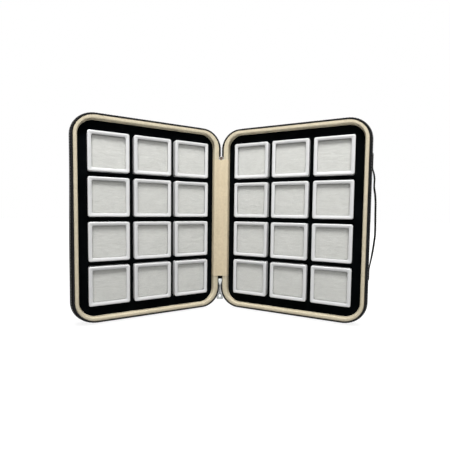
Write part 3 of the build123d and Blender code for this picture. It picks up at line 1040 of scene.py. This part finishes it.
lug_turn = linspace(-pi / 2, pi / 2, 17)
lug_middle = array(lug_place)
lug_round = lug_middle + lug_radius * stack([cos(lug_turn), sin(lug_turn)], -1)
lug_back = concatenate([
    linspace((lug_face, lug_radius), (lug_root, lug_radius), 3),
    linspace((lug_root, 0.7 * lug_radius), (lug_root, -0.7 * lug_radius), 5),
    linspace((lug_root, -lug_radius), (lug_face, -lug_radius), 3)]) + (0, lug_middle[1])
lug_outline = concatenate([lug_round, lug_back, lug_round[:1]])
lug_y, lug_z, lug_x = bored_plate(lug_middle, bore_radius, lug_outline, lug_half_width, lug_edge)
lug = stack([lug_x, lug_y, lug_z], -1)
slider_grids = [(grid + hinge_place) * mm for grid in (slider_body, lug)]
casting = add_piece("zip_slider_casting", slider_grids, bright_nickel, "zip_slider")
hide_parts("zip_slider")

gather_rise = linspace(slider_low - 0.6, slider_top - 0.1, 12)
gather_start = interp(gather_rise, slider_rise[1:-1], slider_half[1:-1]) - gather_inner
gather_share = linspace(0, 1, 7)[:, None]
gather_x = gather_start * (1 - gather_share) + gather_outer * gather_share
gather_y = gather_fold * gather_share ** 1.5 + 0 * gather_start
front, back = (stack([gather_x, gather_y + half, gather_rise + 0 * gather_x], -1)
               for half in (-gather_half, gather_half))
gather = capped(concatenate([front, back[::-1], front[:1]]))
gather_grids = [(gather * (sign, 1, 1) + hinge_place) * mm for sign in (-1, 1)]
gathered = add_piece("zip_gathered_tape", gather_grids, tape_cloth, "zip_slider")
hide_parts("zip_slider")

drops = tab_drops[0] + (tab_drops[-1] - tab_drops[0]) * sin(linspace(0, pi / 2, 44))
half_widths = interp(drops, tab_drops, tab_half_widths)
half_widths[1:-1] = (half_widths[:-2] + 2 * half_widths[1:-1] + half_widths[2:]) / 4
past_corner = clip(1 - (tab_drops[-1] - drops) / tab_corner, 0, 1)
half_widths -= tab_corner * (1 - sqrt(1 - past_corner ** 2))
low_edge = linspace(-half_widths[-1], half_widths[-1], 9)[1:-1]
tab_outline = concatenate([
    stack([-half_widths, -drops], -1), stack([low_edge, full(7, -drops[-1])], -1),
    stack([half_widths[::-1], -drops[::-1]], -1), [(-half_widths[0], -drops[0])]])
blade_x, blade_z, blade_y = bored_plate(
    array((0.0, -tab_hole_drop)), tab_hole_radius, tab_outline, tab_half, tab_edge)
blade = stack([blade_x, blade_y, blade_z], -1)
eye_walk = walk(6, 4, 4)
eye_x, eye_z = rounded(-eye_half_width, eye_half_width, eye_low, 0.0, eye_corner, eye_walk)
wire_turn = linspace(0, 2 * pi, 13)[:, None]
wire_out = eye_wire_radius * cos(wire_turn)
eye = stack([
    eye_x + wire_out * cos(eye_walk[2]), eye_wire_radius * sin(wire_turn) + 0 * eye_x,
    eye_z + wire_out * sin(eye_walk[2])], -1)
tab_place = array(hinge_place) + (0, *lug_place)
tab_grids = [(grid + tab_place) * mm for grid in (blade, eye)]
tab = add_piece("zip_bell_tab", tab_grids, worn_nickel, "zip_pull_tab")
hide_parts("zip_pull_tab")


# The strap handle.
# A limp band of black leatherette folded over and sewn along both edges. Its ends are sewn flat to
# the outer wall of the right leaf, and the free part stands off the wall in two low humps.

strap_width = 9.0
strap_thickness = 1.5
pressed_thickness = 0.6
strap_heights = (-59.0, -47.5, -36.0, -24.0, -14.0, -5.0, 8.0, 20.0, 27.0, 35.0, 44.0, 49.0, 53.5, 69.0)
strap_gaps = (0.0, 0.0, 1.42, 2.86, 3.8, 3.8, 3.45, 3.3, 2.75, 1.55, 1.7, 1.1, 0.0, 0.0)
strap_wall = leaf_reach + side_swell
strap_middle = 11.3
strap_end_radius = 2.0
strap_pillow = 0.16
strap_seam = 3.3
strap_stitch_half = (0.85, 0.16, 0.22)
strap_stitch_sunk = 0.04


def strap_line(count):
    """The strap's heights, middle line and thickness: the gaps with corners eased by a running mean
    about seven millimetres long, and the thickness pressed where the gap closes."""
    fine = linspace(strap_heights[0] - 8, strap_heights[-1] + 8, 1200)
    window = np.hanning(63)
    eased = np.convolve(interp(fine, strap_heights, strap_gaps), window / window.sum(), mode="same")
    rise = linspace(strap_heights[0], strap_heights[-1], count)
    gap = interp(rise, fine, eased)
    thick = pressed_thickness + (strap_thickness - pressed_thickness) * clip(gap / 2.0, 0, 1)
    return rise, strap_wall + thick / 2 + gap + 0.02, thick


strap_rise, strap_across, strap_thick = strap_line(150)
_, strap_out = directions(np.gradient(stack([strap_across, strap_rise], -1), axis=0))
edge_turn = linspace(0, 2 * pi, 33)
end_near = np.minimum(strap_rise - strap_heights[0], strap_heights[-1] - strap_rise) / strap_end_radius
end_round = sqrt(clip(1 - (1 - clip(end_near, 0, 1)) ** 2, 0, 1))
strap_half = strap_width / 2 - strap_end_radius * (1 - end_round)
across_share = filled(cos(edge_turn), 0.35)[:, None]
thick_share = filled(sin(edge_turn), 0.55)[:, None]
pillow = 1 - strap_pillow * np.abs(across_share) ** 4
strap_off = thick_share * pillow * strap_thick / 2
strap = stack([
    strap_across + strap_off * strap_out[:, 0], strap_middle + across_share * strap_half,
    strap_rise + strap_off * strap_out[:, 1]], -1)
handle = add_piece("strap_handle", [stand("right", capped(strap))], black_leather, "right_leaf", crease=50)
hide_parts("handle")

stitch_rise, stitch_across, stitch_thick = strap_line(61)
stitch_line = stack([stitch_across, stitch_rise], -1)
along, outward = directions(np.gradient(stitch_line, axis=0))
stitch_line += outward * (stitch_thick[:, None] / 2 - strap_stitch_sunk)
stitched = (stitch_line[1:-1], along[1:-1], outward[1:-1])
strap_stitches = [
    stand("right", beads(*stitched, strap_middle + edge, strap_stitch_half, columns=7))
    for edge in (-strap_seam, strap_seam)]
add_piece("strap_handle_stitches", strap_stitches, sewing_thread, "right_leaf")
